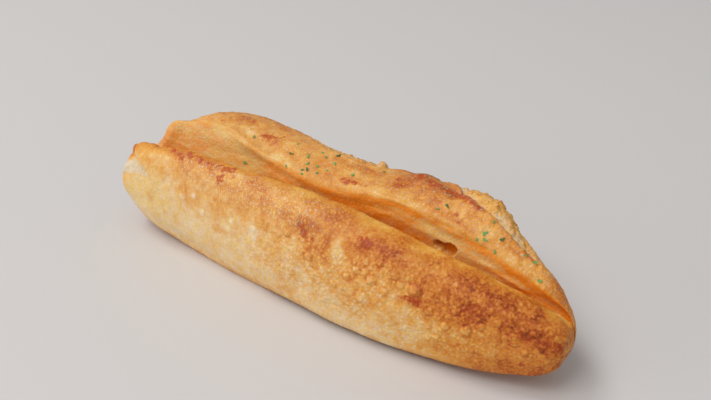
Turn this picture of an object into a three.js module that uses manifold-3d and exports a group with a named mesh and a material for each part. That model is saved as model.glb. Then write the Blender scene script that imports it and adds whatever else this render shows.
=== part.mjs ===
// A garlic baguette: one short, baked loaf, split along its top by a deep cut, with dried parsley on it.
//
// Millimetres, +Z up. The loaf runs along X and rests on its flat base at z = 0. The origin is below the
// middle of the loaf. "Near" is the -Y side of the cut, with the low rounded lobe, and "far" is the +Y side,
// where the lobe stands taller and its crust has torn away from the flank.
import * as THREE from "three";
import { mergeVertices } from "three/addons/utils/BufferGeometryUtils.js";
import Module from "manifold-3d";

// ---- Driving dimensions -------------------------------------------------------------------------------
const LENGTH = 230;
const RINGS = 48; // cross-sections along the loaf
const STEPS_PER_SPAN = 3; // points between two neighbouring points of a cross-section
const SETTLE = 1.6; // how far the underside is pressed flat, which gives the base its flat patch
const GAP = 0.35; // clearance left under a flake of parsley

// Guide values at stations along the loaf: t is -1 at the left end, 0 in the middle and 1 at the right end.
const STATIONS = [-1, -0.9, -0.8, -0.6, -0.3, 0, 0.3, 0.6, 0.73, 0.85, 1];
const GUIDES = {
  nearReach: [25, 22, 20, 18, 20, 23.5, 26, 26, 26.3, 27, 32], // the near flank, out from the cut's own line
  farReach: [34, 36.5, 38.5, 41.5, 40.5, 39, 38.5, 39, 33, 28.5, 26], // the far flank, likewise
  nearLip: [-2.5, -4, -5, -6, -6.5, -6, -6, -6.5, -6, -4.5, 0], // where the cut's near edge runs, in Y
  farLip: [7.5, 8.5, 9, 10, 5, 1.5, 4, 4.5, 4.5, 5, 8.5], // where its far edge runs
  nearHeight: [57, 56.5, 55.5, 53.5, 52, 50.5, 47.5, 43, 41.5, 41, 42], // top of the near lobe
  farLipHeight: [45, 50, 59.5, 62.5, 56, 51.5, 53, 48, 45, 43.5, 44.5],
  crestHeight: [45, 50, 57.5, 62, 58.5, 55.5, 56, 59, 52, 47, 42], // top of the far lobe
  tear: [0, 0, 0, 0, 0.25, 1, 0.5, 1, 0.8, 0.6, 0], // how far the far crust has torn open, 0 to 1
  undercut: [0, 0, 0, 0, 0.3, 1, 1, 1, 1, 0.8, 0.5], // how far the far wall hollows under its lip, in mm
};

// How bluntly each end closes: a higher power keeps the full section for longer, then rounds off faster.
const ENDS = {
  left: { nearPower: 3, farPower: 3.3, heightPower: 3.5, tipY: 0, tipZ: 23.5, lift: 3, liftFrom: 0.5 },
  right: { nearPower: 3.2, farPower: 2.2, heightPower: 4.4, tipY: -5, tipZ: 21.5, lift: 2, liftFrom: 0.3 },
};
const ROUNDING = 2.1; // 2 closes an end as an ellipse, and a little more squares its shoulder
const FULL_HEIGHT = 60; // the height at which an end's lift has faded to nothing

// The pocket left by a gas bubble that burst through the cut's far wall.
const POCKET = { x: 57.8, y: 6.5, z: 37.3, radii: [3.6, 5.2, 2.9], segments: [14, 10] };

// ---- The loaf's surface -------------------------------------------------------------------------------
const clamp01 = (v) => Math.min(Math.max(v, 0), 1);
const mix = (a, b, share) => a + (b - a) * share;

/** A guide's value at t, along a smooth curve through its stations. */
function guide(name, t) {
  const values = GUIDES[name];
  const last = STATIONS.length - 1;
  const i = Math.min(Math.max(STATIONS.findIndex((s) => s >= t) - 1, 0), last - 1);
  const slope = (k) => {
    const [a, b] = [Math.max(k - 1, 0), Math.min(k + 1, last)];
    return (values[b] - values[a]) / (STATIONS[b] - STATIONS[a]);
  };
  const h = STATIONS[i + 1] - STATIONS[i];
  const s = (t - STATIONS[i]) / h;
  return (
    (2 * s ** 3 - 3 * s ** 2 + 1) * values[i] +
    (s ** 3 - 2 * s ** 2 + s) * h * slope(i) +
    (3 * s ** 2 - 2 * s ** 3) * values[i + 1] +
    (s ** 3 - s ** 2) * h * slope(i + 1)
  );
}

/** The share of the full section left at t, from 1 in the middle to 0 at the tip. */
const taper = (t, power) => clamp01(1 - Math.abs(t) ** power) ** (1 / ROUNDING);

/** The named points that one cross-section passes through, as [y, z], round the loaf from under its base. */
function sectionOutline(t) {
  const [near, far] = [guide("nearReach", t), guide("farReach", t)];
  const [lipN, lipF] = [guide("nearLip", t), guide("farLip", t)];
  const [hN, hF, hL] = [guide("nearHeight", t), guide("crestHeight", t), guide("farLipHeight", t)];
  const [tear, undercut] = [guide("tear", t), guide("undercut", t)];
  const floor = 0.62 * Math.min(hN, hL); // the cut goes down a little over a third of the loaf's height
  const across = (share) => mix(lipF, far, share); // over the far lobe's top, from the cut to the flank
  return {
    baseMiddle: [0.3 * (far - near), -SETTLE],
    baseNear: [-0.66 * near, -SETTLE],
    heelNear: [-0.9 * near, 0.09 * hN],
    bellyNear: [-near, 0.34 * hN],
    flankNear: [-0.93 * near, 0.66 * hN],
    shoulderNear: [0.3 * lipN - 0.6 * near, 0.93 * hN],
    lipNear: [lipN, hN],
    lipNearInside: [lipN + 1.8, hN - 4],
    cutFloor: [lipN + 3.5, floor],
    wallLow: [mix(lipN, lipF, 0.55) + 3 + undercut, mix(floor, hL, 0.35)],
    wallHigh: [lipF + 1 + 1.5 * undercut, hL - 7],
    lipFar: [lipF, hL - 0.8],
    lipFarTop: [lipF + 4, mix(hL, hF, 0.35)],
    crest: [across(0.42), hF],
    crustEdge: [across(0.7), 0.95 * hF],
    tearFloor: [across(0.78), 0.93 * hF - 4 * tear],
    tearRim: [across(0.91), 0.84 * hF],
    flankFar: [far, 0.6 * hF],
    bellyFar: [far, 0.34 * hF],
    heelFar: [0.92 * far, 0.1 * hF],
    baseFar: [0.66 * far, -SETTLE],
  };
}
const SECTION = Object.keys(sectionOutline(0));

/** The closed curve round the loaf at t. Towards an end its points draw in to the tip. */
function sectionCurve(t) {
  const end = t < 0 ? ENDS.left : ENDS.right;
  const lift = end.lift * clamp01((Math.abs(t) - end.liftFrom) / (1 - end.liftFrom)) ** 2;
  const tipY = Math.abs(t) * end.tipY;
  const points = Object.values(sectionOutline(t)).map(([y, z]) => {
    const lifted = lift + z * (1 - lift / FULL_HEIGHT);
    const wide = taper(t, y < tipY ? end.nearPower : end.farPower);
    const high = taper(t, end.heightPower);
    return new THREE.Vector3((t * LENGTH) / 2, mix(tipY, y, wide), mix(end.tipZ, lifted, high));
  });
  return new THREE.CatmullRomCurve3(points, true, "catmullrom", 0.5);
}

/** A point of the surface at t, u points round the section from the middle of the base. */
function surfacePoint(curve, u) {
  const point = curve.getPoint(u / SECTION.length);
  point.z = Math.max(point.z, 0); // the part of the underside below the table is pressed flat
  return point;
}

/** A closed shell from rings of points, with one point at each tip. */
function loftGeometry(rings) {
  const around = rings[1].length;
  const places = rings.flatMap((ring) => ring.flatMap((p) => [p.x, p.y, p.z]));
  const faces = [];
  const at = (ring, k) => 1 + (ring - 1) * around + (k % around);
  const lastRing = rings.length - 2;
  const rightTip = 1 + lastRing * around;
  for (let k = 0; k < around; k++) {
    faces.push(0, at(1, k), at(1, k + 1));
    faces.push(rightTip, at(lastRing, k + 1), at(lastRing, k));
    for (let ring = 1; ring < lastRing; ring++) {
      faces.push(at(ring, k), at(ring + 1, k + 1), at(ring, k + 1));
      faces.push(at(ring, k), at(ring + 1, k), at(ring + 1, k + 1));
    }
  }
  const geometry = new THREE.BufferGeometry();
  geometry.setAttribute("position", new THREE.Float32BufferAttribute(places, 3));
  return geometry.setIndex(faces);
}

/** The whole loaf with its cut, as a shell. The rings crowd towards the tips, where the ends round off. */
function loafShell() {
  const rings = [];
  for (let i = 0; i <= RINGS; i++) {
    const curve = sectionCurve(Math.sin(Math.PI * (i / RINGS - 0.5)));
    const count = i === 0 || i === RINGS ? 1 : SECTION.length * STEPS_PER_SPAN;
    rings.push(Array.from({ length: count }, (_, k) => surfacePoint(curve, k / STEPS_PER_SPAN)));
  }
  return loftGeometry(rings);
}

// ---- Cutting the pocket -------------------------------------------------------------------------------
const wasm = await Module();
wasm.setup();

/** A closed mesh as a manifold-3d solid. */
function solidOf(geometry) {
  const bare = geometry.clone();
  bare.deleteAttribute("normal");
  bare.deleteAttribute("uv");
  const merged = mergeVertices(bare);
  const [places, faces] = [merged.attributes.position.array, merged.index.array];
  return new wasm.Manifold(
    new wasm.Mesh({ numProp: 3, vertProperties: places, triVerts: new Uint32Array(faces) }),
  );
}

/** A manifold-3d solid as a three.js geometry. */
function geometryOf(solid) {
  const { vertProperties, triVerts } = solid.getMesh();
  const geometry = new THREE.BufferGeometry();
  geometry.setAttribute("position", new THREE.Float32BufferAttribute(vertProperties, 3));
  geometry.setIndex(new THREE.BufferAttribute(triVerts, 1));
  geometry.computeVertexNormals();
  return geometry;
}

/** The loaf with the burst bubble hollowed out of the cut's far wall. */
function loafGeometry() {
  const bubble = new THREE.SphereGeometry(1, ...POCKET.segments);
  bubble.scale(...POCKET.radii);
  bubble.translate(POCKET.x, POCKET.y, POCKET.z);
  return geometryOf(solidOf(loafShell()).subtract(solidOf(bubble)));
}

// ---- Parsley ------------------------------------------------------------------------------------------
// Outlines of cut, dried leaf in unit size, and the sizes they come in, in mm.
const LEAF_CUTS = [
  [[-0.5, -0.12], [-0.2, -0.3], [0.05, -0.2], [0.32, -0.3], [0.5, 0.02], [0.22, 0.12], [0.1, 0.34], [-0.25, 0.2]],
  [[-0.5, -0.2], [0, -0.32], [0.5, -0.14], [0.36, 0.2], [-0.05, 0.14], [-0.3, 0.36]],
  [[-0.5, -0.06], [-0.1, -0.16], [0.5, -0.04], [0.3, 0.14], [-0.2, 0.16]],
];
const LEAF_SIZES = [2.9, 2.2, 2.5, 1.7, 2.7, 1.9];
const LEAF_THICKNESS = 0.3;
const LEAF_CUP = 0.12; // how far an edge 1 mm out curls up from the middle
const TURN_PER_FLAKE = 137.5; // degrees from one flake to the next, so that no two neighbours line up

// Where each flake lies: [x in mm, place across]. Across is 0 at the cut's far edge and 1 where the far
// crust ends, and it is below 0 down the wall of the cut.
const FLAKES = [
  [-45, -0.5], [-10, -0.35], // fallen into the cut
  [-43, 0.38], [-23, 0.62], [-22, 0.43], [-20, 0.04], // left half
  [-14, 0.5], [-12, 0.4], [-12, 0.22], [-11, 0.07], [-10, 0.3], [-10, 0.66], [-9, 0.82], // middle pinch
  [-7, 0.43], [-7, 0.6], [-5, 0.32], [-3, 0.72], [-2, 0.43], [-1, 0.56], [10, 0.47], [20, 0.72],
  [51, 0.32], [54, 0.42], // on the browned crest
  [70, 0.07], [72, 0.32], [73, 0.2], [74, 0.52], [78, 0.08], [79, 0.42], [89, 0.53], [93, 0.58], [97, 0.2],
];

/** One scrap of leaf, flat below and cupped, centred on its own middle. */
function flakeGeometry(outline, size) {
  const shape = new THREE.Shape(outline.map(([x, y]) => new THREE.Vector2(x * size, y * size)));
  const leaf = new THREE.ExtrudeGeometry(shape, { depth: LEAF_THICKNESS, bevelEnabled: false });
  const places = leaf.attributes.position;
  for (let i = 0; i < places.count; i++) {
    const curl = LEAF_CUP * (places.getX(i) ** 2 + places.getY(i) ** 2);
    places.setZ(i, places.getZ(i) + curl);
  }
  leaf.computeVertexNormals();
  return leaf;
}

/** Lays a flake on the crust: its underside faces the surface, GAP above it, turned about the normal. */
function layOnCrust(mesh, x, across, turn) {
  const t = (2 * x) / LENGTH;
  const [from, to] = [SECTION.indexOf("lipFar"), SECTION.indexOf("crustEdge")];
  const u = mix(from, to, across);
  const step = 0.02;
  const here = surfacePoint(sectionCurve(t), u);
  const along = surfacePoint(sectionCurve(t + step), u).sub(here).normalize();
  const round = surfacePoint(sectionCurve(t), u + step).sub(here).normalize();
  const normal = new THREE.Vector3().crossVectors(along, round).normalize();
  const side = new THREE.Vector3().crossVectors(normal, along);
  mesh.quaternion.setFromRotationMatrix(new THREE.Matrix4().makeBasis(along, side, normal));
  mesh.rotateZ(THREE.MathUtils.degToRad(turn));
  mesh.position.copy(here).addScaledVector(normal, GAP);
}

// ---- The assembly -------------------------------------------------------------------------------------
const crust = new THREE.MeshStandardMaterial({ color: 0xd08a3c, roughness: 0.75, metalness: 0 });
const parsley = new THREE.MeshStandardMaterial({ color: 0x4c8a3f, roughness: 0.8, metalness: 0 });

const baguette = new THREE.Group();

const loaf = new THREE.Mesh(loafGeometry(), crust);
loaf.name = "loaf";
baguette.add(loaf);

FLAKES.forEach(([x, across], i) => {
  const outline = LEAF_CUTS[i % LEAF_CUTS.length];
  const flake = new THREE.Mesh(flakeGeometry(outline, LEAF_SIZES[i % LEAF_SIZES.length]), parsley);
  flake.name = `parsley_flake_${String(i + 1).padStart(2, "0")}`;
  layOnCrust(flake, x, across, i * TURN_PER_FLAKE);
  baguette.add(flake);
});

// The loaf was shaped about the line of its cut, so it is moved sideways until the origin is below its middle.
loaf.geometry.computeBoundingBox();
const middle = loaf.geometry.boundingBox.getCenter(new THREE.Vector3());
baguette.position.set(-middle.x, -middle.y, 0);

const part = new THREE.Group();
part.add(baguette);

export default part;
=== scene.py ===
"""A garlic baguette: one baked loaf with a buttered cut along its top, and dried parsley lying on it.

Lengths inside the classes are in millimetres, and each mesh is turned to metres as it is made.
"""

import logging
import math
from collections.abc import Sequence
from dataclasses import dataclass, field
from enum import Enum

import bpy
import numpy as np
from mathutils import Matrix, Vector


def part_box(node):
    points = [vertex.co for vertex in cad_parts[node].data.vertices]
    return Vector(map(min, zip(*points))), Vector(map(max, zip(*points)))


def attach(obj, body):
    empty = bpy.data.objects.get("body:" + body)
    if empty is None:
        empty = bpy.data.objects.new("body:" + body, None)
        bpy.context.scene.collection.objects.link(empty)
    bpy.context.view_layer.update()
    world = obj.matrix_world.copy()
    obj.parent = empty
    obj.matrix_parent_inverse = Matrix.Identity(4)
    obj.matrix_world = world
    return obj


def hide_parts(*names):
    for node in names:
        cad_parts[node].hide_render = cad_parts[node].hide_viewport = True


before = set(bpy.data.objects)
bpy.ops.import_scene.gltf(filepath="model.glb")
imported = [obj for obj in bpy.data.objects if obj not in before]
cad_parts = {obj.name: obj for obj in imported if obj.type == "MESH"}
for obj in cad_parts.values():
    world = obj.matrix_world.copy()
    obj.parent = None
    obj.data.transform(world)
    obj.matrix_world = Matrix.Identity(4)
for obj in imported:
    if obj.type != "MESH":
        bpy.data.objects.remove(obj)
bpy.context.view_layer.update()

MM = 0.001
LOG = logging.getLogger("baguette")
Array = np.ndarray
Marks = Sequence[tuple[float, float, float, float, float]]
Curve = tuple[tuple[float, float], ...]
# The browning that counts as nearly black, and the masks that the crust's finish reads.
DARKEST = 1.2
MASKS = (
    "bake", "cut", "soak", "torn", "dough_and_painted_light", "hollow", "bubbly", "streaky", "glazed", "frosted", "ruddy",
)  # fmt: skip


# ---- Shared helpers
def linear(hex_colour: str) -> tuple[float, float, float, float]:
    """Turns an sRGB hex colour into the linear red, green, blue and alpha of 1 that shaders use."""
    parts = [int(hex_colour[i : i + 2], 16) / 255 for i in (1, 3, 5)]
    red, green, blue = (p / 12.92 if p <= 0.04045 else ((p + 0.055) / 1.055) ** 2.4 for p in parts)
    return red, green, blue, 1.0


def step(low: float | Array, high: float | Array, value: Array) -> Array:
    """Rises smoothly from 0 at low to 1 at high: 3s^2 - 2s^3 of the clamped share s.

    Args:
        low: Where the rise starts.
        high: Where it ends. It may be below low, which turns the rise into a fall.
        value: The values to place between them.

    Returns:
        The rise at each value.
    """
    share = np.clip((value - low) / (high - low), 0, 1)
    return share * share * (3 - 2 * share)


def bell(middle: float, width: float, value: Array) -> Array:
    """A bell curve, 1 at its middle: exp(-s^2), where s is the distance from the middle in widths."""
    return np.exp(-(((value - middle) / width) ** 2))


def band(start: float, full: float, fading: float, end: float, value: Array) -> Array:
    """Rises from 0 at start to 1 at full, and falls from 1 at fading to 0 at end."""
    return step(start, full, value) * step(end, fading, value)


def new_material(name: str) -> tuple[bpy.types.Material, bpy.types.NodeTree]:
    """Makes a material whose node tree is empty, and gives both."""
    made = bpy.data.materials.new(name)
    made.use_nodes = True
    made.node_tree.nodes.clear()
    return made, made.node_tree


def add(tree: bpy.types.NodeTree, kind: str, wires: dict | None = None, **settings: object) -> bpy.types.Node:
    """Adds a shader node.

    Args:
        tree: The material's or world's node tree.
        kind: The node's type name.
        wires: What each input takes, by its name or number: another node's socket, or a value.
        settings: The node's own properties.

    Returns:
        The new node.
    """
    node = tree.nodes.new(kind)
    for name, value in settings.items():
        setattr(node, name, value)
    for key, value in (wires or {}).items():
        if isinstance(value, bpy.types.NodeSocket):
            tree.links.new(value, node.inputs[key])
        else:
            node.inputs[key].default_value = value
    return node


def closed_surface(name: str, grid: Array, first_tip: Array, last_tip: Array) -> bpy.types.Object:
    """Makes a mesh object of a grid of rings that closes round each ring, with a fan to a tip at each end.

    The rings' points run so that along x round points outwards.

    Args:
        name: The object's name.
        grid: Ring points in mm, as rings by points by 3.
        first_tip: The point that closes the first ring, in mm.
        last_tip: The point that closes the last ring, in mm.

    Returns:
        The object, at the origin, shaded smooth.
    """
    rings, around = grid.shape[:2]
    places = np.concatenate([grid.reshape(-1, 3), first_tip[None], last_tip[None]]) * MM
    ids = np.arange(rings * around).reshape(rings, around)
    after = np.roll(ids, -1, axis=1)
    quads = np.stack([ids[:-1], ids[1:], after[1:], after[:-1]], -1).reshape(-1, 4)
    low, high = np.full(around, rings * around), np.full(around, rings * around + 1)
    fans = [*np.stack([low, ids[0], after[0]], -1).tolist(), *np.stack([high, after[-1], ids[-1]], -1).tolist()]
    mesh = bpy.data.meshes.new(name)
    mesh.from_pydata(places, [], quads.tolist() + fans)
    mesh.validate()
    mesh.shade_smooth()
    piece = bpy.data.objects.new(name, mesh)
    bpy.context.scene.collection.objects.link(piece)
    return piece


def normals_of(grid: Array) -> Array:
    """The unit normals of a grid of rings, from the cross product of its steps along and round."""
    along = np.gradient(grid, axis=0)
    round_ = np.roll(grid, -1, axis=1) - np.roll(grid, 1, axis=1)
    normal = np.cross(along, round_)
    return normal / np.maximum(np.linalg.norm(normal, axis=-1, keepdims=True), 1e-9)


class Grain:
    """Seeded noise over space, on a lattice of random numbers. Its tables' length is a power of two."""

    slots: int = 4096

    def __init__(self, seed: int) -> None:
        """Draws the tables of random numbers, which are the same for the same seed."""
        source = np.random.default_rng(seed)
        self.order = source.permutation(self.slots)
        self.numbers = source.random((self.slots, 4))

    def pick(self, cell: Array) -> Array:
        """The place in the tables of each whole-number lattice cell."""
        last = self.slots - 1
        first = self.order[cell[..., 0] & last]
        second = self.order[(first + cell[..., 1]) & last]
        return self.order[(second + cell[..., 2]) & last]

    def smooth(self, points: Array, size: float | Sequence[float]) -> Array:
        """Value noise: lattice numbers blended by smooth steps along each axis.

        Args:
            points: Places in mm.
            size: The lattice spacing in mm, one number or one for each axis.

        Returns:
            Values from -1 to 1.
        """
        place = points / np.asarray(size, float)
        cell = np.floor(place).astype(np.int64)
        part = place - cell
        part = part * part * (3 - 2 * part)
        total = np.zeros(points.shape[:-1])
        for corner in np.ndindex(2, 2, 2):
            side = np.array(corner)
            weight = np.prod(np.where(side, part, 1 - part), axis=-1)
            total += weight * self.numbers[self.pick(cell + side), 0]
        return 2 * total - 1

    def layers(self, points: Array, size: float | Sequence[float], count: int = 3) -> Array:
        """Smooth noise summed over sizes that halve each time, with weights that halve too.

        Args:
            points: Places in mm.
            size: The largest spacing in mm.
            count: How many sizes.

        Returns:
            Values from about -1 to 1.
        """
        spacing = np.asarray(size, float)
        parts = [self.smooth(points + 37.7 * k, spacing / 2**k) / 2**k for k in range(count)]
        return 1.6 * sum(parts) / (2 - 2.0 ** (1 - count))

    def domes(self, points: Array, size: float, small: float, large: float, share: float) -> Array:
        """Round domes scattered one to a lattice cell, each a power of 1 minus its squared distance.

        Args:
            points: Places in mm.
            size: The lattice spacing in mm.
            small: The smallest dome's radius in mm.
            large: The largest dome's radius in mm.
            share: The share of cells that hold a dome.

        Returns:
            Dome heights, 1 at the middle of the largest.
        """
        place = points / size
        cell = np.floor(place).astype(np.int64)
        height = np.zeros(points.shape[:-1])
        for offset in np.ndindex(3, 3, 3):
            near = cell + np.array(offset) - 1
            found = self.numbers[self.pick(near)]
            other = self.numbers[self.pick(near + 1717), 3]
            middle = near + 0.15 + 0.7 * found[..., :3]
            away = np.linalg.norm(place - middle, axis=-1) * size
            radius = small + (large - small) * found[..., 3]
            dome = np.clip(1 - (away / radius) ** 2, 0, 1) ** 0.7 * radius / large
            height = np.maximum(height, np.where(other < share, dome, 0))
        return height


# ---- The loaf's form
@dataclass(frozen=True)
class End:
    """How one end of the loaf closes: a higher power keeps the full section for longer."""

    near_power: float
    far_power: float
    height_power: float
    tip_y: float
    tip_z: float
    lift: float
    lift_from: float


@dataclass(frozen=True)
class LoafForm:
    """The loaf's body, lofted through closed sections, before its relief.

    t runs from -1 at the left tip to 1 at the right one. u runs once round a section through its 21 named
    points: the near flank is 1 to 6, the cut 6 to 11, the far lobe's top 11 to 14, and its flank 15 to 20.
    """

    length: float = 230.0
    rounding: float = 2.1
    full_height: float = 60.0
    settle: float = 1.6
    left: End = End(3, 3.3, 3.5, 0, 23.5, 3, 0.5)
    right: End = End(3.2, 2.2, 4.4, -5, 21.5, 2, 0.3)
    stations: tuple[float, ...] = (-1, -0.9, -0.8, -0.6, -0.3, 0, 0.3, 0.6, 0.73, 0.85, 1)
    near_reach: tuple[float, ...] = (25, 22, 20, 18, 20, 23.5, 26, 26, 26.3, 27, 32)
    far_reach: tuple[float, ...] = (34, 36.5, 38.5, 41.5, 40.5, 39, 38.5, 39, 33, 28.5, 26)
    near_lip: tuple[float, ...] = (-2.5, -4, -5, -6, -6.5, -6, -6, -6.5, -6, -4.5, 0)
    far_lip: tuple[float, ...] = (7.5, 8.5, 9, 10, 5, 1.5, 4, 4.5, 4.5, 5, 8.5)
    near_height: tuple[float, ...] = (57, 56.5, 55.5, 53.5, 52, 50.5, 47.5, 43, 41.5, 41, 42)
    far_lip_height: tuple[float, ...] = (45, 50, 59.5, 62.5, 56, 51.5, 53, 48, 45, 43.5, 44.5)
    crest_height: tuple[float, ...] = (45, 50, 57.5, 62, 58.5, 55.5, 56, 59, 52, 47, 42)
    tear: tuple[float, ...] = (0, 0, 0, 0, 0.25, 1, 0.5, 1, 0.8, 0.6, 0)

    def guide(self, values: tuple[float, ...], t: Array) -> Array:
        """A guide's value at t, on Hermite curves between its stations.

        Args:
            values: The guide's values at the stations.
            t: Places along the loaf.

        Returns:
            The guide at each place.
        """
        at, value = np.array(self.stations, float), np.array(values, float)
        last = len(at) - 1
        before, after = np.maximum(np.arange(last + 1) - 1, 0), np.minimum(np.arange(last + 1) + 1, last)
        slope = (value[after] - value[before]) / (at[after] - at[before])
        i = np.clip(np.searchsorted(at, t) - 1, 0, last - 1)
        gap = at[i + 1] - at[i]
        s = (t - at[i]) / gap
        return (
            (2 * s**3 - 3 * s**2 + 1) * value[i]
            + (s**3 - 2 * s**2 + s) * gap * slope[i]
            + (3 * s**2 - 2 * s**3) * value[i + 1]
            + (s**3 - s**2) * gap * slope[i + 1]
        )

    def outline(self, t: Array) -> Array:
        """The 21 points that each full section passes through, from under its base and up its near side.

        Args:
            t: Places along the loaf.

        Returns:
            Y and Z in mm, as places by points by 2.
        """
        near, far = self.guide(self.near_reach, t), self.guide(self.far_reach, t)
        lip_n, lip_f = self.guide(self.near_lip, t), self.guide(self.far_lip, t)
        high_n, high_f = self.guide(self.near_height, t), self.guide(self.crest_height, t)
        high_l = self.guide(self.far_lip_height, t)
        tear = self.guide(self.tear, t)
        floor = 0.62 * np.minimum(high_n, high_l)
        base = np.full_like(t, -self.settle)

        def across(share: float) -> Array:
            """A place over the far lobe's top, from the cut to the flank."""
            return lip_f + (far - lip_f) * share

        points = [
            (0.3 * (far - near), base),
            (-0.66 * near, base),
            (-0.9 * near, 0.09 * high_n),
            (-near, 0.34 * high_n),
            (-0.93 * near, 0.66 * high_n),
            (0.3 * lip_n - 0.6 * near, 0.93 * high_n),
            (lip_n, high_n),
            (lip_n + 1.8, high_n - 4),
            (lip_n + 3.5, floor),
            (0.45 * lip_n + 0.55 * lip_f + 3, 0.65 * floor + 0.35 * high_l),
            (lip_f + 1, high_l - 7),
            (lip_f, high_l - 0.8),
            (lip_f + 4, 0.65 * high_l + 0.35 * high_f),
            (across(0.42), high_f),
            (across(0.7), 0.95 * high_f),
            (across(0.78), 0.93 * high_f - 4 * tear),
            (across(0.91), 0.84 * high_f),
            (far, 0.6 * high_f),
            (far, 0.34 * high_f),
            (0.92 * far, 0.1 * high_f),
            (0.66 * far, base),
        ]
        return np.stack([np.stack(p, -1) for p in points], 1)

    def surface(self, t: Array, u: Array) -> Array:
        """The body's points: Catmull-Rom curves through each section, drawn in towards the tips.

        Towards an end, each Y and Z moves to the tip by the share (1 - |t|^power)^(1/rounding). The part
        that would lie below the table is pressed flat.

        Args:
            t: Places along the loaf.
            u: Places round the section.

        Returns:
            Points in mm, as t by u by 3.
        """
        outline = self.outline(t)
        y, z = outline[..., 0], outline[..., 1]
        away = np.abs(t)[:, None]
        near_p, far_p, high_p, tip_y, tip_z, lift, lift_from = (
            np.where(t[:, None] < 0, getattr(self.left, n), getattr(self.right, n))
            for n in ("near_power", "far_power", "height_power", "tip_y", "tip_z", "lift", "lift_from")
        )
        raised = lift * np.clip((away - lift_from) / (1 - lift_from), 0, 1) ** 2
        side = away * tip_y

        def share(power: Array) -> Array:
            """How much of the full section is left."""
            return np.clip(1 - away**power, 0, 1) ** (1 / self.rounding)

        y = side + (y - side) * share(np.where(y < side, near_p, far_p))
        z = tip_z + (raised + z * (1 - raised / self.full_height) - tip_z) * share(high_p)
        knots = np.stack([y, z], -1)
        i = np.floor(u).astype(int)
        f = (u - i)[None, :, None]
        a, b, c, d = (knots[:, (i + k) % knots.shape[1]] for k in (-1, 0, 1, 2))
        curve = 0.5 * (2 * b + (c - a) * f + (2 * a - 5 * b + 4 * c - d) * f**2 + (3 * b - a - 3 * c + d) * f**3)
        x = np.broadcast_to((t * self.length / 2)[:, None], curve.shape[:2])
        return np.stack([x, curve[..., 0], np.maximum(curve[..., 1], 0)], -1)


@dataclass
class Skin:
    """The body's surface as a grid, with what the relief and the baking are worked out from.

    x and u are each ring's and each line's place, and round is the distance in mm round each ring from u = 0.
    """

    points: Array
    normals: Array
    x: Array
    u: Array
    round: Array

    def around(self, u: float) -> Array:
        """The distance round each ring, in mm, at which a given u lies."""
        line = np.interp(u, self.u[0], np.arange(self.u.size))
        low = int(line)
        high = min(low + 1, self.u.size - 1)
        return (self.round[:, low] * (1 - line + low) + self.round[:, high] * (line - low))[:, None]

    def reach(self, x: float, u: float, along: float, across: float) -> Array:
        """Each point's distance from a mark at x mm and u, in units of its radii along and across in mm."""
        return np.hypot((self.x - x) / along, (self.round - self.around(u)) / across)


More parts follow.
